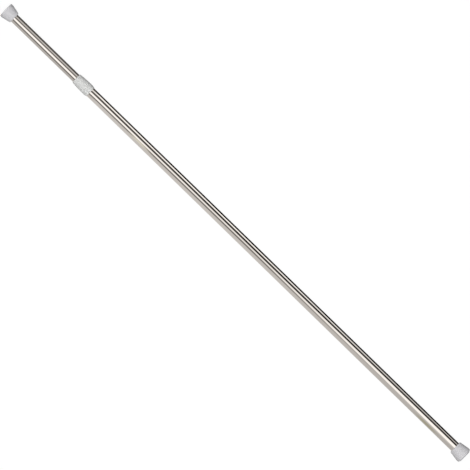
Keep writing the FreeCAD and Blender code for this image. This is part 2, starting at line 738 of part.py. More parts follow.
def make_plunger_rod():
    """Hexagonal bar that carries the turn through the spring, with a turned end for the stop."""
    end = f"({nut_start} + Sizes.nut_thick + Sizes.stud_end)"
    bar = hex_bar("rod_hex", rod_start, rod_corner, f"{stop_start} - {rod_start}")
    stud = round_bar("rod_stud", f"{stop_start} - Sizes.rod_flats", "Sizes.stud_dia / 2",
                     f"{end} - {stop_start} + Sizes.rod_flats")
    blank = boolean("Part::Fuse", "rod_blank", bar, stud)
    cross = doc.addObject("Part::Cylinder", "rod_cross_hole")
    cross.setExpression("Radius", "Sizes.pin_dia / 2 + Sizes.seat_gap")
    cross.setExpression("Height", "2 * Sizes.rod_flats")
    cross.setExpression(".Placement.Base.x", pin_centre)
    cross.setExpression(".Placement.Base.z", "-Sizes.rod_flats")
    return boolean("Part::Cut", "plunger_rod", blank, cross)


def make_stop_nut():
    """Nut with turned corners on the rod's end."""
    corner = "(Sizes.nut_flats / 2 / cos(30))"
    blank = hex_bar("nut_hex", nut_start, corner, "Sizes.nut_thick")
    cone = doc.addObject("Part::Cone", "nut_cone")
    cone.setExpression("Radius1", f"{corner} + Sizes.nut_thick - Sizes.nut_edge")
    cone.setExpression("Radius2", f"{corner} - Sizes.nut_edge")
    cone.setExpression("Height", "Sizes.nut_thick")
    axis_along_x(cone, nut_start)
    turned_nut = boolean("Part::Common", "nut_blank", blank, cone)
    hole = round_bar("nut_hole", f"{nut_start} - Sizes.side_gap", "Sizes.stud_dia / 2 + Sizes.seat_gap",
                     "Sizes.nut_thick + 2 * Sizes.side_gap")
    return boolean("Part::Cut", "stop_nut", turned_nut, hole)


def make_roll_pin():
    """Slotted sheet pin across the boss, flush both sides."""
    length = f"2 * ({boss_r} - Sizes.side_gap)"
    low = f"-({boss_r} - Sizes.side_gap)"
    radii = {"pin_outside": "Sizes.pin_dia / 2", "pin_inside": "Sizes.pin_dia / 2 - Sizes.pin_wall"}
    walls = []
    for name, radius in radii.items():
        wall = doc.addObject("Part::Cylinder", name)
        wall.setExpression("Radius", radius)
        wall.setExpression("Height", length)
        wall.setExpression(".Placement.Base.x", pin_centre)
        wall.setExpression(".Placement.Base.z", low)
        walls.append(wall)
    tube = boolean("Part::Cut", "pin_tube", *walls)
    slot = doc.addObject("Part::Box", "pin_slot")
    slot.setExpression("Length", "Sizes.pin_dia")
    slot.setExpression("Width", "Sizes.pin_wall")
    slot.setExpression("Height", length)
    slot.setExpression(".Placement.Base.x", pin_centre)
    slot.setExpression(".Placement.Base.y", "-Sizes.pin_wall / 2")
    slot.setExpression(".Placement.Base.z", low)
    return boolean("Part::Cut", "roll_pin", tube, slot)


def make_spring():
    """Compression spring with closed ends, its wire in straight facets, twelve to a coil."""
    facets = 12
    sides = 6
    wire = value("Sizes.wire_dia")
    coil_r = value("Sizes.spring_dia / 2")
    active = round(value("Sizes.active_coils"))
    closed_rise = wire + value("Sizes.seat_gap")
    first = wire / 2 + value("Sizes.seat_gap") / 2
    open_rise = (value("Sizes.spring_length") - 2 * first - 2 * closed_rise) / active
    path = []
    for i in range((active + 2) * facets + 1):
        coils = i / facets
        opened = min(max(coils - 1, 0), active)
        x = first + (coils - opened) * closed_rise + opened * open_rise
        angle = 2 * math.pi * coils
        path.append(FreeCAD.Vector(x, coil_r * math.cos(angle), coil_r * math.sin(angle)))
    along = (path[1] - path[0]).normalize()
    side = along.cross(FreeCAD.Vector(1, 0, 0)).normalize()
    up = side.cross(along)
    section = []
    for k in range(sides + 1):
        turn = 2 * math.pi * (k % sides) / sides
        section.append(path[0] + (side * math.cos(turn) + up * math.sin(turn)) * (wire / 2))
    mitred = 1
    spring = doc.addObject("Part::Feature", "tension_spring")
    spring.Label = "tension_spring"
    spring.Shape = Part.makePolygon(path).makePipeShell([Part.makePolygon(section)], True, False, mitred)
    spring.Placement = FreeCAD.Placement(FreeCAD.Vector(value(spring_start), 0, 0), FreeCAD.Rotation())
    return spring


subparts = [
    make_outer_tube(),
    make_collar(),
    make_cup("fixed_cup", "0", False, outer_r, "fixed"),
    make_plug("fixed_plug", pad_back, False, outer_bore, outer_r),
    make_pad("fixed_pad", "0", False, outer_r, "fixed"),
    make_inner_tube(),
    make_cup("sliding_cup", overall, True, inner_r, "slide"),
    make_plug("sliding_plug", f"{overall} - {pad_back}", True, inner_bore, inner_r),
    make_pad("sliding_pad", overall, True, inner_r, "slide"),
    make_guide_bush(),
    make_glide_ring(),
    make_washer("thrust_washer", thrust_start, f"{rod_corner} + Sizes.side_gap", washer_r),
    make_washer("stop_washer", stop_start, "Sizes.stud_dia / 2 + Sizes.run_gap", stop_r),
    make_spring_seat(),
    make_cam(),
    make_brake_ring(),
    make_retaining_disc(),
    make_retaining_screw(),
    make_plunger_rod(),
    make_stop_nut(),
    make_roll_pin(),
    make_spring(),
]
doc.recompute()

for item in doc.Objects:
    if "Invalid" in item.State or "Error" in item.State:
        raise RuntimeError(f"{item.Name} failed: {item.State}")
for item in subparts:
    if item.Shape.isNull() or not item.Shape.isValid():
        raise RuntimeError(f"{item.Label} has no valid shape")
    if len(item.Shape.Solids) != 1:
        raise RuntimeError(f"{item.Label} has {len(item.Shape.Solids)} solids")

os.makedirs("parts", exist_ok=True)
for item in subparts:
    item.Shape.exportStep(f"parts/{item.Label}.step")
    print(item.Label, round(item.Shape.Volume, 1))
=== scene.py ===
import bpy
import json
import math
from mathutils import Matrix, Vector


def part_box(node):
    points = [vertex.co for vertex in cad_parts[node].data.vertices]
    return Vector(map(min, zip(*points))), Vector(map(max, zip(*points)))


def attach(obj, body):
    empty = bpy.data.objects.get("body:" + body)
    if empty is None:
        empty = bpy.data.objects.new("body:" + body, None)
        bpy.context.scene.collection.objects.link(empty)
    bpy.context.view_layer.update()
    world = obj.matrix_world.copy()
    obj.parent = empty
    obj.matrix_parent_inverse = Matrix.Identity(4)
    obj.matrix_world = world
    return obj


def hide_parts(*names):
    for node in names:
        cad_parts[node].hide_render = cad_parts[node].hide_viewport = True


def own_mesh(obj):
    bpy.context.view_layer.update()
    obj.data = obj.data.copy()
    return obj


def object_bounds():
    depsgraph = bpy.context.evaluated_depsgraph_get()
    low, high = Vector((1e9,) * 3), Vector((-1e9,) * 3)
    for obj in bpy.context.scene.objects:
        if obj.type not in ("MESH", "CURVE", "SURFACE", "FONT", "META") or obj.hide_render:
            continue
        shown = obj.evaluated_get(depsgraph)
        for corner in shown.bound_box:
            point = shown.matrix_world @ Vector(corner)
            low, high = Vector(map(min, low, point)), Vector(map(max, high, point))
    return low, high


# Telescopic tension rod, lying diagonally under a camera that looks straight down.
# The rod's axis is X, its fixed cup at x = 0. Piece sizes below are in millimetres.

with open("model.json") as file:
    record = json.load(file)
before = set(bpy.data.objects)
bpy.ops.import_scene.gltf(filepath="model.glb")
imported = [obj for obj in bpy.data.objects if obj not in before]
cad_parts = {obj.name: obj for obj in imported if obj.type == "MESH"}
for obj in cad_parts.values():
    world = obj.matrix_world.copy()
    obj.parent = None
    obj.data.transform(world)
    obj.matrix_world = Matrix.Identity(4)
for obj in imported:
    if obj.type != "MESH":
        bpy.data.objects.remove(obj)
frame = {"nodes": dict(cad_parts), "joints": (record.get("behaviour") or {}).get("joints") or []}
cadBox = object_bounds()
nodes = frame["nodes"]
print("frame loaded:", len(nodes), "nodes")


def mm(value):
    return value / 1000


def deselectAll():
    if bpy.context.object and bpy.context.object.mode != "OBJECT":
        bpy.ops.object.mode_set(mode="OBJECT")
    bpy.ops.object.select_all(action="DESELECT")


def linear(hexText):
    # sRGB hex to the linear colour that a shader socket takes
    channels = [int(hexText[i:i + 2], 16) / 255 for i in (0, 2, 4)]
    return [c / 12.92 if c <= 0.04045 else ((c + 0.055) / 1.055) ** 2.4 for c in channels] + [1]


def addNode(tree, kind, settings=None, links=None):
    # One shader node: settings go to its sockets or properties, links come from other sockets
    node = tree.nodes.new(kind)
    for name, value in (settings or {}).items():
        if isinstance(name, int) or name in node.inputs:
            node.inputs[name].default_value = value
        else:
            setattr(node, name, value)
    for name, source in (links or {}).items():
        tree.links.new(source, node.inputs[name])
    return node


def newMaterial(name, settings):
    # Empty material with a Principled shader wired to its output
    material = bpy.data.materials.new(name)
    material.use_nodes = True
    tree = material.node_tree
    tree.nodes.clear()
    shader = addNode(tree, "ShaderNodeBsdfPrincipled", settings)
    addNode(tree, "ShaderNodeOutputMaterial", links={"Surface": shader.outputs["BSDF"]})
    return material, tree, shader


# Materials

def chromedTube():
    # Bright chrome plate on rolled steel tube: a warm mirror, hardly blurred by polishing lines,
    # with long shallow waves from the rolling that make the reflections swim a little.
    look = {
        "tint": "E8E4E1", "hazeTint": "E0DBD7", "gloss": 0.03, "glossChange": 0.07,
        "polishSpacing": 0.5, "polishStretch": (1.0, 0.06, 0.06), "polishDepth": 0.0008,
        "waveLength": 55.0, "waveDepth": 0.008,
    }
    material, tree, shader = newMaterial("chromePlatedSteel", {"Metallic": 1.0})
    place = addNode(tree, "ShaderNodeTexCoord").outputs["Object"]
    lines = addNode(tree, "ShaderNodeMapping", {"Scale": look["polishStretch"]}, {"Vector": place})
    polish = addNode(tree, "ShaderNodeTexNoise", {
        "Scale": 1 / mm(look["polishSpacing"]), "Detail": 4.0,
    }, {"Vector": lines.outputs["Vector"]})
    haze = addNode(tree, "ShaderNodeTexNoise", {
        "Scale": 1 / mm(look["waveLength"]), "Detail": 3.0,
    }, {"Vector": place})
    colour = addNode(tree, "ShaderNodeMix", {
        "data_type": "RGBA", "A": linear(look["tint"]), "B": linear(look["hazeTint"]),
    })
    tree.links.new(haze.outputs["Fac"], colour.inputs["Factor"])
    tree.links.new(colour.outputs["Result"], shader.inputs["Base Color"])
    gloss = addNode(tree, "ShaderNodeMath", {
        "operation": "MULTIPLY_ADD", 1: look["glossChange"], 2: look["gloss"],
    }, {0: polish.outputs["Fac"]})
    tree.links.new(gloss.outputs["Value"], shader.inputs["Roughness"])
    rolled = addNode(tree, "ShaderNodeBump", {"Distance": mm(look["waveDepth"])}, {
        "Height": haze.outputs["Fac"],
    })
    brushed = addNode(tree, "ShaderNodeBump", {"Distance": mm(look["polishDepth"])}, {
        "Height": polish.outputs["Fac"], "Normal": rolled.outputs["Normal"],
    })
    tree.links.new(brushed.outputs["Normal"], shader.inputs["Normal"])
    return material


def mouldedPlastic(name, look):
    # Injection moulding: even colour with faint clouds from the melt, and the mould's fine grain
    material, tree, shader = newMaterial(name, {
        "IOR": look["ior"], "Subsurface Weight": look["milkiness"],
        "Subsurface Radius": (1.0, 1.0, 1.0), "Subsurface Scale": mm(look["milkDepth"]),
    })
    place = addNode(tree, "ShaderNodeTexCoord").outputs["Object"]
    clouds = addNode(tree, "ShaderNodeTexNoise", {
        "Scale": 1 / mm(look["cloudSize"]), "Detail": 3.0,
    }, {"Vector": place})
    grain = addNode(tree, "ShaderNodeTexNoise", {
        "Scale": 1 / mm(look["grainSize"]), "Detail": 2.0,
    }, {"Vector": place})
    colour = addNode(tree, "ShaderNodeMix", {
        "data_type": "RGBA", "A": linear(look["colour"]), "B": linear(look["cloudColour"]),
    })
    tree.links.new(clouds.outputs["Fac"], colour.inputs["Factor"])
    tree.links.new(colour.outputs["Result"], shader.inputs["Base Color"])
    gloss = addNode(tree, "ShaderNodeMath", {
        "operation": "MULTIPLY_ADD", 1: look["glossChange"], 2: look["gloss"],
    }, {0: grain.outputs["Fac"]})
    tree.links.new(gloss.outputs["Value"], shader.inputs["Roughness"])
    bump = addNode(tree, "ShaderNodeBump", {"Distance": mm(look["grainDepth"])}, {
        "Height": grain.outputs["Fac"],
    })
    tree.links.new(bump.outputs["Normal"], shader.inputs["Normal"])
    return material


def workedSteel(name, look):
    # Small steel pieces: drawn, turned or plated, with fine lines and a slightly mottled coat
    lineLook = {"glossChange": 0.15, "depth": 0.01}
    material, tree, shader = newMaterial(name, {"Metallic": 1.0})
    place = addNode(tree, "ShaderNodeTexCoord").outputs["Object"]
    stretched = addNode(tree, "ShaderNodeMapping", {"Scale": look["stretch"]}, {"Vector": place})
    lines = addNode(tree, "ShaderNodeTexNoise", {
        "Scale": 1 / mm(look["lineSpacing"]), "Detail": 3.0,
    }, {"Vector": stretched.outputs["Vector"]})
    spots = addNode(tree, "ShaderNodeTexVoronoi", {"Scale": 1 / mm(look["spotSize"])}, {
        "Vector": place,
    })
    colour = addNode(tree, "ShaderNodeMix", {
        "data_type": "RGBA", "A": linear(look["colour"]), "B": linear(look["spotColour"]),
    })
    tree.links.new(spots.outputs["Distance"], colour.inputs["Factor"])
    tree.links.new(colour.outputs["Result"], shader.inputs["Base Color"])
    gloss = addNode(tree, "ShaderNodeMath", {
        "operation": "MULTIPLY_ADD", 1: lineLook["glossChange"], 2: look["gloss"],
    }, {0: lines.outputs["Fac"]})
    tree.links.new(gloss.outputs["Value"], shader.inputs["Roughness"])
    bump = addNode(tree, "ShaderNodeBump", {"Distance": mm(lineLook["depth"])}, {
        "Height": lines.outputs["Fac"],
    })
    tree.links.new(bump.outputs["Normal"], shader.inputs["Normal"])
    return material


chrome = chromedTube()

# Soft vinyl, injection moulded: matt, lilac grey, light goes a millimetre into it
cupVinyl = mouldedPlastic("softVinylMoulded", {
    "colour": "C6C5C7", "cloudColour": "BDBCBF", "cloudSize": 9.0,
    "ior": 1.53, "milkiness": 0.15, "milkDepth": 1.2,
    "gloss": 0.42, "glossChange": 0.12, "grainSize": 0.35, "grainDepth": 0.012,
})

# Polypropylene, injection moulded: milky right through and a little shinier than the cups
collarPlastic = mouldedPlastic("milkyPolypropyleneMoulded", {
    "colour": "CECECC", "cloudColour": "C5C6C5", "cloudSize": 7.0,
    "ior": 1.49, "milkiness": 0.45, "milkDepth": 3.5,
    "gloss": 0.33, "glossChange": 0.1, "grainSize": 0.3, "grainDepth": 0.008,
})

# Soft rubber, compression moulded: matt, tacky, faintly speckled
padRubber = mouldedPlastic("greyRubberMoulded", {
    "colour": "C4C4C8", "cloudColour": "B4B4B9", "cloudSize": 2.0,
    "ior": 1.52, "milkiness": 0.0, "milkDepth": 0.5,
    "gloss": 0.62, "glossChange": 0.15, "grainSize": 0.45, "grainDepth": 0.03,
})

# Polypropylene plugs: plain white, out of sight in the tube ends
plugPlastic = mouldedPlastic("whitePolypropyleneMoulded", {
    "colour": "DAD9D4", "cloudColour": "CFCEC8", "cloudSize": 6.0,
    "ior": 1.49, "milkiness": 0.1, "milkDepth": 1.0,
    "gloss": 0.4, "glossChange": 0.1, "grainSize": 0.3, "grainDepth": 0.01,
})

# Natural nylon: warm white and slightly waxy, for what slides on steel
bushNylon = mouldedPlastic("naturalNylonMoulded", {
    "colour": "E6E3D6", "cloudColour": "D9D5C6", "cloudSize": 5.0,
    "ior": 1.53, "milkiness": 0.25, "milkDepth": 1.5,
    "gloss": 0.3, "glossChange": 0.1, "grainSize": 0.25, "grainDepth": 0.008,
})

# Black acetal: smooth and hard, for the cam and what turns with it
camAcetal = mouldedPlastic("blackAcetalMoulded", {
    "colour": "232326", "cloudColour": "2C2C30", "cloudSize": 4.0,
    "ior": 1.48, "milkiness": 0.0, "milkDepth": 0.5,
    "gloss": 0.28, "glossChange": 0.1, "grainSize": 0.3, "grainDepth": 0.006,
})

# Zinc plated steel: bright and bluish, with the coat's small crystals
zincSteel = workedSteel("zincPlatedSteel", {
    "colour": "C9CBCE", "spotColour": "B5B8BE", "spotSize": 0.8, "lineSpacing": 0.3,
    "stretch": (1.0, 1.0, 1.0), "gloss": 0.2,
})

# Bright drawn bar: lines run along it, left by the die
drawnSteel = workedSteel("brightDrawnSteel", {
    "colour": "B4B3B1", "spotColour": "A6A4A1", "spotSize": 3.0, "lineSpacing": 0.2,
    "stretch": (0.03, 1.0, 1.0), "gloss": 0.22,
})

# Oiled spring wire: darker drawn steel
springSteel = workedSteel("drawnSpringWire", {
    "colour": "8E8D8B", "spotColour": "757370", "spotSize": 1.2, "lineSpacing": 0.25,
    "stretch": (1.0, 0.3, 0.3), "gloss": 0.25,
})
print("materials made")


# Turned pieces: a circle is drawn out along the rod and scaled from station to station

turning = {"joinGap": 0.002, "sameSize": 1e-9, "onWall": 0.05, "bevelFrom": 28, "smoothUpTo": 32}


def startCircle(name, x, radius, segments):
    deselectAll()
    bpy.ops.mesh.primitive_circle_add(vertices=segments, radius=mm(radius), location=(mm(x), 0, 0),
                                      rotation=(0, math.pi / 2, 0))
    piece = bpy.context.object
    piece.name = name
    piece.data.name = name
    bpy.ops.object.transform_apply(location=True, rotation=True, scale=True)
    bpy.ops.object.mode_set(mode="EDIT")
    bpy.ops.mesh.select_mode(type="EDGE")
    bpy.ops.mesh.select_all(action="SELECT")
    return piece


def drawOut(stations):
    for (x, radius), (nextX, nextRadius) in zip(stations, stations[1:]):
        bpy.ops.mesh.extrude_region_move(TRANSFORM_OT_translate={"value": (mm(nextX - x), 0, 0)})
        grow = nextRadius / radius
        if abs(grow - 1) > turning["sameSize"]:
            bpy.ops.transform.resize(value=(1, grow, grow), center_override=(mm(nextX), 0, 0))


def closeUp():
    # Joins the last circle to the first where they meet and turns all faces outwards
    bpy.ops.mesh.select_all(action="SELECT")
    bpy.ops.mesh.remove_doubles(threshold=mm(turning["joinGap"]))
    bpy.ops.mesh.normals_make_consistent(inside=False)
    bpy.ops.object.mode_set(mode="OBJECT")


def softenEdges(piece, width, count):
    bevel = piece.modifiers.new("softEdges", "BEVEL")
    bevel.width = mm(width)
    bevel.segments = count
    bevel.limit_method = "ANGLE"
    bevel.angle_limit = math.radians(turning["bevelFrom"])
    bevel.use_clamp_overlap = True
    bpy.ops.object.modifier_apply(modifier=bevel.name)
    bpy.ops.object.shade_smooth_by_angle(angle=math.radians(turning["smoothUpTo"]))


def crushRibs(piece, ribs, start, end, socketRadius, tubeRadius, segments):
    # Draws narrow strips of a socket's wall inwards until they touch the tube
    deselectAll()
    piece.select_set(True)
    bpy.context.view_layer.objects.active = piece
    bpy.ops.object.mode_set(mode="EDIT")
    bpy.ops.mesh.select_mode(type="FACE")
    bpy.ops.mesh.select_all(action="DESELECT")
    bpy.ops.object.mode_set(mode="OBJECT")
    pitch, facet = 2 * math.pi / ribs["count"], 2 * math.pi / segments
    near, far = min(start, end) + ribs["setBack"], max(start, end) - ribs["setBack"]
    for face in piece.data.polygons:
        radius = math.hypot(face.center.y, face.center.z)
        past = (math.atan2(face.center.z, face.center.y) + (pitch - facet) / 2) % pitch - pitch / 2
        onWall = abs(radius - mm(socketRadius)) < mm(turning["onWall"])
        inStrip = abs(past) * socketRadius < ribs["width"] / 2
        face.select = mm(near) < face.center.x < mm(far) and onWall and inStrip
    bpy.ops.object.mode_set(mode="EDIT")
    bpy.ops.mesh.extrude_region_move(TRANSFORM_OT_translate={"value": (0, 0, 0)})
    reach = (tubeRadius + ribs["gap"]) / socketRadius
    bpy.ops.transform.resize(value=(1, reach, reach), center_override=(0, 0, 0))
    closeUp()
    bpy.ops.object.shade_smooth_by_angle(angle=math.radians(turning["smoothUpTo"]))


def finishPiece(piece, node, body, material):
    piece.data.materials.clear()
    piece.data.materials.append(material)
    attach(piece, body)
    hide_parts(node)


def arcStations(centreX, centreRadius, size, first, last, steps):
    # Stations round an arc; angles in degrees, 0 along the rod and 90 outwards
    turns = [math.radians(first + (last - first) * i / steps) for i in range(steps + 1)]
    return [(centreX + size * math.cos(a), centreRadius + size * math.sin(a)) for a in turns]


def bulge(start, end, drop, steps):
    # Stations of a flat arc whose crest is at its start and that falls by drop at its end
    (startX, startRadius), reach = start, end - start[0]
    size = (reach ** 2 + drop ** 2) / (2 * drop)
    ways = [reach * (i / steps) for i in range(1, steps + 1)]
    return [(startX + way, startRadius - size + math.sqrt(size ** 2 - way ** 2)) for way in ways]


# Larger tube

# A loop close to each end keeps the bevel from tilting the normals, and so the reflections, of
# the long faces
outerTube = {"wall": 0.6, "edge": 0.12, "edgeSteps": 2, "segments": 160, "endLoop": 0.6}
low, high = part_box("outer_tube")
tubeStart, tubeEnd = low.x * 1000, high.x * 1000
outerRadius = high.y * 1000
bore = outerRadius - outerTube["wall"]
places = [tubeStart, tubeStart + outerTube["endLoop"], tubeEnd - outerTube["endLoop"], tubeEnd]
outside = [(x, outerRadius) for x in places]
inside = [(x, bore) for x in reversed(places)]
tube = startCircle("largerTube", tubeStart, outerRadius, outerTube["segments"])
drawOut(outside + inside + outside[:1])
closeUp()
softenEdges(tube, outerTube["edge"], outerTube["edgeSteps"])
finishPiece(tube, "outer_tube", "fixed_half", chrome)
print("larger tube modelled:", round(outerRadius, 3))


# Smaller tube, with the rolled crimp that holds the bush

innerTube = {
    "wall": 0.6, "edge": 0.12, "edgeSteps": 2, "segments": 160, "endLoop": 0.6, "crimpPlace": 12.0,
    "crimpDepth": 0.7, "crimpBase": 2.4,
}
low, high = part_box("inner_tube")
innerStart, innerEnd = low.x * 1000, high.x * 1000
innerRadius = high.y * 1000
middle = innerStart + innerTube["crimpPlace"]
half = innerTube["crimpBase"] / 2
slope = innerTube["crimpDepth"]
loop = innerTube["endLoop"]
skin = [
    (innerStart, 0), (innerStart + loop, 0),
    (middle - half - slope - loop, 0), (middle - half - slope, 0), (middle - half, slope),
    (middle + half, slope), (middle + half + slope, 0), (middle + half + slope + loop, 0),
    (innerEnd - loop, 0), (innerEnd, 0),
]
outside = [(x, innerRadius - dip) for x, dip in skin]
inside = [(x, innerRadius - innerTube["wall"] - dip) for x, dip in reversed(skin)]
tube = startCircle("smallerTube", innerStart, innerRadius, innerTube["segments"])
drawOut(outside + inside + outside[:1])
closeUp()
softenEdges(tube, innerTube["edge"], innerTube["edgeSteps"])
finishPiece(tube, "inner_tube", "sliding_half", chrome)
print("smaller tube modelled:", round(innerRadius, 3))


# Crush ribs: narrow strips in the sockets of the collar and both cups that grip the tubes

ribs = {"count": 6, "width": 1.6, "gap": 0.01, "setBack": 0.5}


# Moulded collar over the joint

collar = {
    "socketDepth": 22.0, "relief": 0.35, "lip": 0.9, "crest": 2.25, "crestPlace": 9.0,
    "smallWall": 1.9, "guideGap": 0.1, "edge": 1.0, "edgeShare": 0.3, "softEdge": 0.25,
    "softSteps": 3, "riseSteps": 10, "fallSteps": 24, "segments": 144,
}
low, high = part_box("joint_collar")
collarStart, collarEnd = low.x * 1000, high.x * 1000
lip = outerRadius + collar["lip"]
crest = outerRadius + collar["crest"]
small = innerRadius + collar["smallWall"]
guide = innerRadius + collar["guideGap"]
socket = outerRadius + collar["relief"]
crestX = collarStart + collar["crestPlace"]
rise = bulge((0, crest), collar["crestPlace"], crest - lip, collar["riseSteps"])
front = [(crestX - x, radius) for x, radius in reversed(rise)]
fall = bulge((crestX, crest), collarEnd, crest - small, collar["fallSteps"])
edgeX = collarEnd - collar["edge"]
shoulder = [(x, radius) for x, radius in fall if x < edgeX]
shoulder.append((edgeX, small + (shoulder[-1][1] - small) * collar["edgeShare"]))
socketEnd = collarStart + collar["socketDepth"]
stations = (
    [(collarStart, socket)] + front + [(crestX, crest)] + shoulder
    + [(collarEnd, small - collar["edge"]), (collarEnd, guide), (socketEnd, guide)]
    + [(socketEnd, socket), (collarStart, socket)]
)
piece = startCircle("jointCollar", collarStart, socket, collar["segments"])
drawOut(stations)
closeUp()
softenEdges(piece, collar["softEdge"], collar["softSteps"])
crushRibs(piece, ribs, collarStart, socketEnd, socket, outerRadius, collar["segments"])
finishPiece(piece, "joint_collar", "fixed_half", collarPlastic)
print("collar modelled, crest", round(crest, 2))


# Flared cups

def flaredCup(name, cup, faceX, towards, tubeRadius):
    # faceX is the pad's face; towards is +1 where the rod runs to +X from it, else -1
    def along(distance):
        return faceX + towards * distance

    rimX = cup["padProud"]
    neckX = rimX + cup["length"]
    neckRadius = tubeRadius + cup["neckWall"]
    slope = cup["flare"] / (cup["length"] - cup["band"])
    flatRadius = neckRadius + cup["flare"] - cup["rimRound"]
    recessRadius = flatRadius - cup["land"]
    socketRadius = tubeRadius + cup["relief"]
    socketX = cup["padThick"] + cup["web"]
    roundX = rimX + cup["rimRound"]
    rim = arcStations(roundX, flatRadius, cup["rimRound"], 180, 90, cup["rimSteps"])
    stations = [(rimX, recessRadius)] + rim + [
        (rimX + cup["band"], neckRadius + cup["flare"]),
        (neckX - cup["neckEdge"], neckRadius + cup["neckEdge"] * slope),
        (neckX, neckRadius - cup["neckEdge"]),
        (neckX, socketRadius),
        (socketX, socketRadius),
        (socketX, cup["noseHole"]),
        (cup["padThick"], cup["noseHole"]),
        (cup["padThick"], recessRadius),
        (rimX, recessRadius),
    ]
    stations = [(along(x), radius) for x, radius in stations]
    piece = startCircle(name, stations[0][0], stations[0][1], cup["segments"])
    drawOut(stations)
    closeUp()
    softenEdges(piece, cup["softEdge"], cup["softSteps"])
    crushRibs(piece, ribs, along(socketX), along(neckX), socketRadius, tubeRadius, cup["segments"])
    return piece, recessRadius


def frictionPad(name, pad, faceX, towards, radius):
    # A disc with a chamfered edge and a ring groove in its face
    def along(distance):
        return faceX + towards * distance

    grooveRadius = radius - pad["grooveInset"]
    stations = [
        (pad["thick"], pad["centre"]), (pad["thick"], radius), (pad["edge"], radius),
        (0, radius - pad["edge"]), (0, grooveRadius + pad["groove"]), (pad["groove"], grooveRadius),
        (0, grooveRadius - pad["groove"]), (0, pad["centre"]),
    ]
    stations = [(along(x), reach) for x, reach in stations]
    piece = startCircle(name, stations[0][0], stations[0][1], pad["segments"])
    bpy.ops.mesh.edge_face_add()
    bpy.ops.mesh.select_all(action="DESELECT")
    bpy.ops.object.mode_set(mode="OBJECT")
    for edge in piece.data.edges:
        edge.select = True
    bpy.ops.object.mode_set(mode="EDIT")
    drawOut(stations)
    bpy.ops.mesh.edge_face_add()
    closeUp()
    softenEdges(piece, pad["softEdge"], pad["softSteps"])
    return piece


sharedCup = {
    "relief": 0.35, "padThick": 3.0, "web": 2.5, "noseHole": 4.05, "segments": 144, "softSteps": 3,
}
fixedCup = sharedCup | {
    "length": 30.4, "neckWall": 3.5, "flare": 3.75, "band": 7.5, "rimRound": 3.0, "rimSteps": 12,
    "neckEdge": 1.0, "land": 0.6, "padProud": 1.5, "softEdge": 0.3,
}
slidingCup = sharedCup | {
    "length": 28.3, "neckWall": 3.2, "flare": 4.85, "band": 6.6, "rimRound": 0.6, "rimSteps": 5,
    "neckEdge": 1.4, "land": 1.4, "padProud": 0.4, "softEdge": 0.2,
}
fixedPad = {
    "thick": 3.0, "edge": 1.3, "groove": 0.8, "grooveInset": 4.8, "fit": 0.15, "centre": 2.0,
    "segments": 120, "softEdge": 0.12, "softSteps": 2,
}
slidingPad = fixedPad | {"edge": slidingCup["padProud"]}
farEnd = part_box("sliding_pad")[1].x * 1000

piece, recess = flaredCup("fixedCup", fixedCup, 0, 1, outerRadius)
finishPiece(piece, "fixed_cup", "fixed_half", cupVinyl)
piece = frictionPad("fixedPad", fixedPad, 0, 1, recess - fixedPad["fit"])
finishPiece(piece, "fixed_pad", "fixed_half", padRubber)
piece, recess = flaredCup("slidingCup", slidingCup, farEnd, -1, innerRadius)
finishPiece(piece, "sliding_cup", "sliding_half", cupVinyl)
piece = frictionPad("slidingPad", slidingPad, farEnd, -1, recess - slidingPad["fit"])
finishPiece(piece, "sliding_pad", "sliding_half", padRubber)
print("cups and pads modelled")


# Tension spring: three screws of one round wire, closed at both ends

springWire = {
    "wire": 1.8, "across": 14.0, "length": 105.0, "pressed": 70.0, "active": 12, "gap": 0.05,
    "steps": 40, "sides": 16, "joinGap": 0.01, "smoothUpTo": 40,
}
stroke = next(joint for joint in frame["joints"] if joint["name"] == "spring_stroke")
springStart = stroke["deforming_nodes"][0]["fixed_end_x_m"] * 1000
closedRise = springWire["wire"] + springWire["gap"]
openLength = springWire["length"] - springWire["wire"] - springWire["gap"] - 2 * closedRise
openRise = openLength / springWire["active"]
coils = []
startX = springStart + springWire["wire"] / 2 + springWire["gap"] / 2
for turns, riseEach in ((1, closedRise), (springWire["active"], openRise), (1, closedRise)):
    deselectAll()
    bpy.ops.mesh.primitive_circle_add(
        vertices=springWire["sides"], radius=mm(springWire["wire"] / 2),
        location=(mm(startX), mm(springWire["across"] / 2), 0),
    )
    coil = bpy.context.object
    bpy.ops.object.transform_apply(location=True, rotation=True, scale=True)
    screw = coil.modifiers.new("wind", "SCREW")
    screw.axis = "X"
    screw.angle = 2 * math.pi
    screw.screw_offset = mm(riseEach)
    screw.iterations = turns
    screw.steps = screw.render_steps = springWire["steps"]
    bpy.ops.object.modifier_apply(modifier=screw.name)
    coils.append(coil)
    startX += turns * riseEach
deselectAll()
for coil in coils:
    coil.select_set(True)
bpy.context.view_layer.objects.active = coils[0]
bpy.ops.object.join()
spring = bpy.context.object
spring.name = "tensionSpring"
bpy.ops.object.mode_set(mode="EDIT")
bpy.ops.mesh.select_all(action="SELECT")
bpy.ops.mesh.remove_doubles(threshold=mm(springWire["joinGap"]))
bpy.ops.mesh.select_all(action="DESELECT")
bpy.ops.mesh.select_non_manifold()
bpy.ops.mesh.edge_face_add()
closeUp()
bpy.ops.object.shade_smooth_by_angle(angle=math.radians(springWire["smoothUpTo"]))
finishPiece(spring, "tension_spring", "plunger", springSteel)
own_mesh(spring)
print("spring wound:", springWire["active"] + 2, "coils")


# Inner pieces keep their solids and get their finish

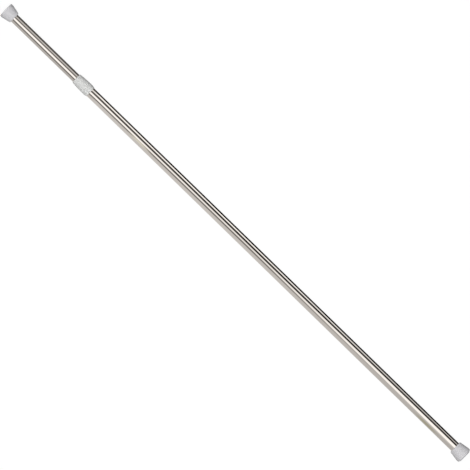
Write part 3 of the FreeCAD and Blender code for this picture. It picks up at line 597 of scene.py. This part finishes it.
finishes = {
    "fixed_plug": plugPlastic, "sliding_plug": plugPlastic,
    "guide_bush": bushNylon, "glide_ring": bushNylon, "brake_ring": bushNylon,
    "lock_cam": camAcetal, "spring_seat": camAcetal, "retaining_disc": camAcetal,
    "thrust_washer": zincSteel, "stop_washer": zincSteel, "stop_nut": zincSteel,
    "retaining_screw": zincSteel, "plunger_rod": drawnSteel, "roll_pin": springSteel,
}
for name, material in finishes.items():
    mesh = nodes[name].data
    if not mesh.materials:
        mesh.materials.append(material)
    for i in range(len(mesh.materials)):
        mesh.materials[i] = material
print("inner pieces finished:", len(finishes))


# Floor: an opal sheet lit from below, so it stays white and hardly takes a shadow. The floor, the
# tent and the lights are in metres; only the floor's drop below the rod is in millimetres.

stageX = 0.75
floor = {"size": 200.0, "drop": 0.4, "glow": 0.955, "glowColour": "FFFFFF", "colour": "404040"}
deselectAll()
floorZ = cadBox[0].z - mm(floor["drop"])
bpy.ops.mesh.primitive_plane_add(size=floor["size"], location=(stageX, 0, floorZ))
sheet = bpy.context.object
sheet.name = "opalFloor"
material, tree, shader = newMaterial("opalAcrylicSheet", {
    "Base Color": linear(floor["colour"]), "Roughness": 0.9, "Specular IOR Level": 0.0,
    "Emission Color": linear(floor["glowColour"]), "Emission Strength": floor["glow"],
})
sheet.data.materials.append(material)
sheet.visible_glossy = False
sheet.visible_diffuse = False


# Reflection tent: a long drum round the rod, seen only in what shines. Panels of white cloth, grey
# cloth and dark flags hang in it side by side. Each is given by its cloth and by where its stripe
# ends across the tube, as read from the photograph: -1 is the tube's lower left edge, 1 its upper
# right edge. The stripes lean and change along the rod, so they are given at four places and run
# evenly between them. Two spots are set in them: a small lamp behind the cloth, and a dull patch.
# A spot's turn and sheetFrom are in degrees from straight up, a turn positive towards the camera's
# upper right. From sheetFrom on, the drum shows the pale sheet that the rod lies on.

tent = {
    "radius": 0.9, "length": 24.0, "segments": 96, "glow": 1.6, "softEdge": 7.0, "sheetFrom": 167,
    "sheetColour": "D9D8D5", "spotRim": 1.4, "spotCore": 0.4,
}
tentCloths = {
    "black": "020202", "charcoal": "262422", "smoke": "484644", "slate": "666360",
    "ash": "A09E9B", "pearl": "B2B0AD", "silver": "D2D0CC", "cream": "EAE8E4",
}
tentPlaces = [
    {"x": 0.06, "stripes": (("ash", -0.38), ("pearl", -0.2), ("cream", 0.23),
                            ("charcoal", 0.53), ("ash", 0.71), ("black", 1))},
    {"x": 0.7, "stripes": (("pearl", -0.37), ("slate", -0.11), ("silver", 0.14),
                           ("charcoal", 0.49), ("cream", 0.69), ("black", 1))},
    {"x": 1.21, "stripes": (("pearl", -0.42), ("slate", -0.2), ("cream", 0.11),
                            ("smoke", 0.47), ("cream", 0.69), ("charcoal", 1))},
    {"x": 1.26, "stripes": (("ash", -0.54), ("slate", -0.28), ("cream", 0.08),
                            ("slate", 0.38), ("pearl", 0.6), ("smoke", 1))},
]
tentSpots = [
    {"x": 1.066, "turn": -42, "reach": 0.03, "spread": 20, "colour": "C4C2B4"},
    {"x": 0.096, "turn": -87, "reach": 0.032, "spread": 34, "colour": "908E7C"},
]
deselectAll()
bpy.ops.mesh.primitive_cylinder_add(
    vertices=tent["segments"], radius=tent["radius"], depth=tent["length"], end_fill_type="NOTHING",
    location=(stageX, 0, 0), rotation=(0, math.pi / 2, 0),
)
drum = bpy.context.object
drum.name = "reflectionTent"
bpy.ops.object.transform_apply(location=True, rotation=True, scale=True)
material = bpy.data.materials.new("tentCloth")
material.use_nodes = True
tree = material.node_tree
tree.nodes.clear()
place = addNode(tree, "ShaderNodeTexCoord").outputs["Object"]
split = addNode(tree, "ShaderNodeSeparateXYZ", links={"Vector": place})
across = addNode(tree, "ShaderNodeMath", {"operation": "MULTIPLY", 1: -1.0}, {
    0: split.outputs["Y"],
})
turn = addNode(tree, "ShaderNodeMath", {"operation": "ARCTAN2"}, {
    0: across.outputs["Value"], 1: split.outputs["Z"],
})
runs = []
for near, far in zip(tentPlaces, tentPlaces[1:]):
    runs.append(addNode(tree, "ShaderNodeMapRange", {
        "From Min": near["x"], "From Max": far["x"],
    }, {"Value": split.outputs["X"]}))


def alongTent(kind, values):
    # Blends one value per place into one socket that changes along the rod
    socket = None
    for run, near, far in zip(runs, values, values[1:]):
        node = addNode(tree, "ShaderNodeMix", {"data_type": kind, "B": far}, {
            "Factor": run.outputs["Result"],
        })
        if socket:
            tree.links.new(socket, node.inputs["A"])
        else:
            node.inputs["A"].default_value = near
        socket = node.outputs["Result"]
    return socket


# A round mirror seen from straight above turns the view by twice its own slope, so a stripe that
# ends at a share of the tube's half width comes from a panel that ends at twice its arcsine
stripes = list(zip(*[spot["stripes"] for spot in tentPlaces]))  # a row for each stripe, four places
tones = [alongTent("RGBA", [linear(tentCloths[cloth]) for cloth, _ in row]) for row in stripes]
bands = tones[0]
for row, tone in zip(stripes, tones[1:]):
    edge = alongTent("FLOAT", [2 * math.asin(share) for _, share in row])
    past = addNode(tree, "ShaderNodeMath", {"operation": "SUBTRACT"}, {
        0: turn.outputs["Value"], 1: edge,
    })
    cover = addNode(tree, "ShaderNodeMath", {
        "operation": "MULTIPLY_ADD", "use_clamp": True, 1: 1 / math.radians(tent["softEdge"]), 2: 0.5,
    }, {0: past.outputs["Value"]})
    bands = addNode(tree, "ShaderNodeMix", {"data_type": "RGBA"}, {
        "Factor": cover.outputs["Value"], "A": bands, "B": tone,
    }).outputs["Result"]
underneath = addNode(tree, "ShaderNodeMath", {"operation": "ABSOLUTE"}, {
    0: turn.outputs["Value"],
})
onSheet = addNode(tree, "ShaderNodeMapRange", {
    "From Min": math.radians(tent["sheetFrom"]),
    "From Max": math.radians(tent["sheetFrom"] + tent["softEdge"]),
}, {"Value": underneath.outputs["Value"]})
bands = addNode(tree, "ShaderNodeMix", {"data_type": "RGBA", "B": linear(tent["sheetColour"])}, {
    "Factor": onSheet.outputs["Result"], "A": bands,
}).outputs["Result"]
for spot in tentSpots:
    aside = addNode(tree, "ShaderNodeMath", {
        "operation": "MULTIPLY_ADD", 1: 1 / spot["reach"], 2: -spot["x"] / spot["reach"],
    }, {0: split.outputs["X"]})
    spread = math.radians(spot["spread"])
    about = addNode(tree, "ShaderNodeMath", {
        "operation": "MULTIPLY_ADD", 1: 1 / spread, 2: -math.radians(spot["turn"]) / spread,
    }, {0: turn.outputs["Value"]})
    both = addNode(tree, "ShaderNodeCombineXYZ", links={
        "X": aside.outputs["Value"], "Y": about.outputs["Value"],
    })
    away = addNode(tree, "ShaderNodeVectorMath", {"operation": "LENGTH"}, {
        "Vector": both.outputs["Vector"],
    })
    inSpot = addNode(tree, "ShaderNodeMapRange", {
        "interpolation_type": "SMOOTHSTEP", "From Min": tent["spotRim"], "From Max": tent["spotCore"],
    }, {"Value": away.outputs["Value"]})
    bands = addNode(tree, "ShaderNodeMix", {"data_type": "RGBA", "B": linear(spot["colour"])}, {
        "Factor": inSpot.outputs["Result"], "A": bands,
    }).outputs["Result"]
light = addNode(tree, "ShaderNodeEmission", {"Strength": tent["glow"]}, {"Color": bands})
addNode(tree, "ShaderNodeOutputMaterial", links={"Surface": light.outputs["Emission"]})
material.cycles.emission_sampling = "NONE"
drum.data.materials.append(material)
for ray in ("camera", "diffuse", "transmission", "volume_scatter", "shadow"):
    setattr(drum, "visible_" + ray, False)


# Light: a pale room, one wide soft box overhead, a little to the camera's lower left, and a small
# low one beyond each end of the rod for the rims and pads

room = {"glow": 0.33, "colour": "F6F6F7", "backdrop": "FCFCFC", "backdropGlow": 1.0}
world = bpy.data.worlds.new("paleRoom")
bpy.context.scene.world = world
world.use_nodes = True
tree = world.node_tree
tree.nodes.clear()
around = addNode(tree, "ShaderNodeBackground", {
    "Color": linear(room["colour"]), "Strength": room["glow"],
})
behind = addNode(tree, "ShaderNodeBackground", {
    "Color": linear(room["backdrop"]), "Strength": room["backdropGlow"],
})
path = addNode(tree, "ShaderNodeLightPath")
choice = addNode(tree, "ShaderNodeMixShader", links={"Fac": path.outputs["Is Camera Ray"]})
tree.links.new(around.outputs["Background"], choice.inputs[1])
tree.links.new(behind.outputs["Background"], choice.inputs[2])
addNode(tree, "ShaderNodeOutputWorld", links={"Surface": choice.outputs["Shader"]})

softBoxes = [
    {"name": "overheadBox", "size": 1.6, "power": 61.0, "place": (stageX, 0.3, 2.4),
     "target": (stageX, 0, 0)},
    {"name": "fixedEndBox", "size": 0.4, "power": 4.0, "place": (-1.0, 0, 0.25),
     "target": (0, 0, 0)},
    {"name": "slidingEndBox", "size": 0.4, "power": 3.0, "place": (2.5, 0, 0.25),
     "target": (1.5, 0, 0)},
]
for softBox in softBoxes:
    deselectAll()
    bpy.ops.object.light_add(type="AREA", location=softBox["place"])
    box = bpy.context.object
    box.name = softBox["name"]
    box.data.shape = "SQUARE"
    box.data.size = softBox["size"]
    box.data.energy = softBox["power"]
    aim = Vector(softBox["target"]) - Vector(softBox["place"])
    box.rotation_mode = "QUATERNION"
    box.rotation_quaternion = aim.to_track_quat("-Z", "Y")
    box.visible_camera = False
    box.visible_glossy = False
print("floor, tent and lights set")


# Camera: straight down from far off, the rod's sliding end at the upper left. The aim is in
# millimetres, and pixelSize is how many of them a pixel of the photograph covers.

shot = {
    "lens": 800.0, "sensor": 36.0, "pixels": 470, "pixelSize": 2.3325, "roll": -135.782,
    "aimX": 744.9, "aimY": 3.6, "farClip": 50,
}
distance = mm(shot["pixels"] * shot["pixelSize"]) * shot["lens"] / shot["sensor"]
deselectAll()
bpy.ops.object.camera_add(
    location=(mm(shot["aimX"]), mm(shot["aimY"]), distance),
    rotation=(0, 0, math.radians(shot["roll"])),
)
camera = bpy.context.object
camera.data.lens = shot["lens"]
camera.data.sensor_width = shot["sensor"]
camera.data.clip_end = shot["farClip"]
bpy.context.scene.camera = camera
bpy.context.scene.view_settings.view_transform = "Standard"
print("camera set at", round(distance, 2), "m")
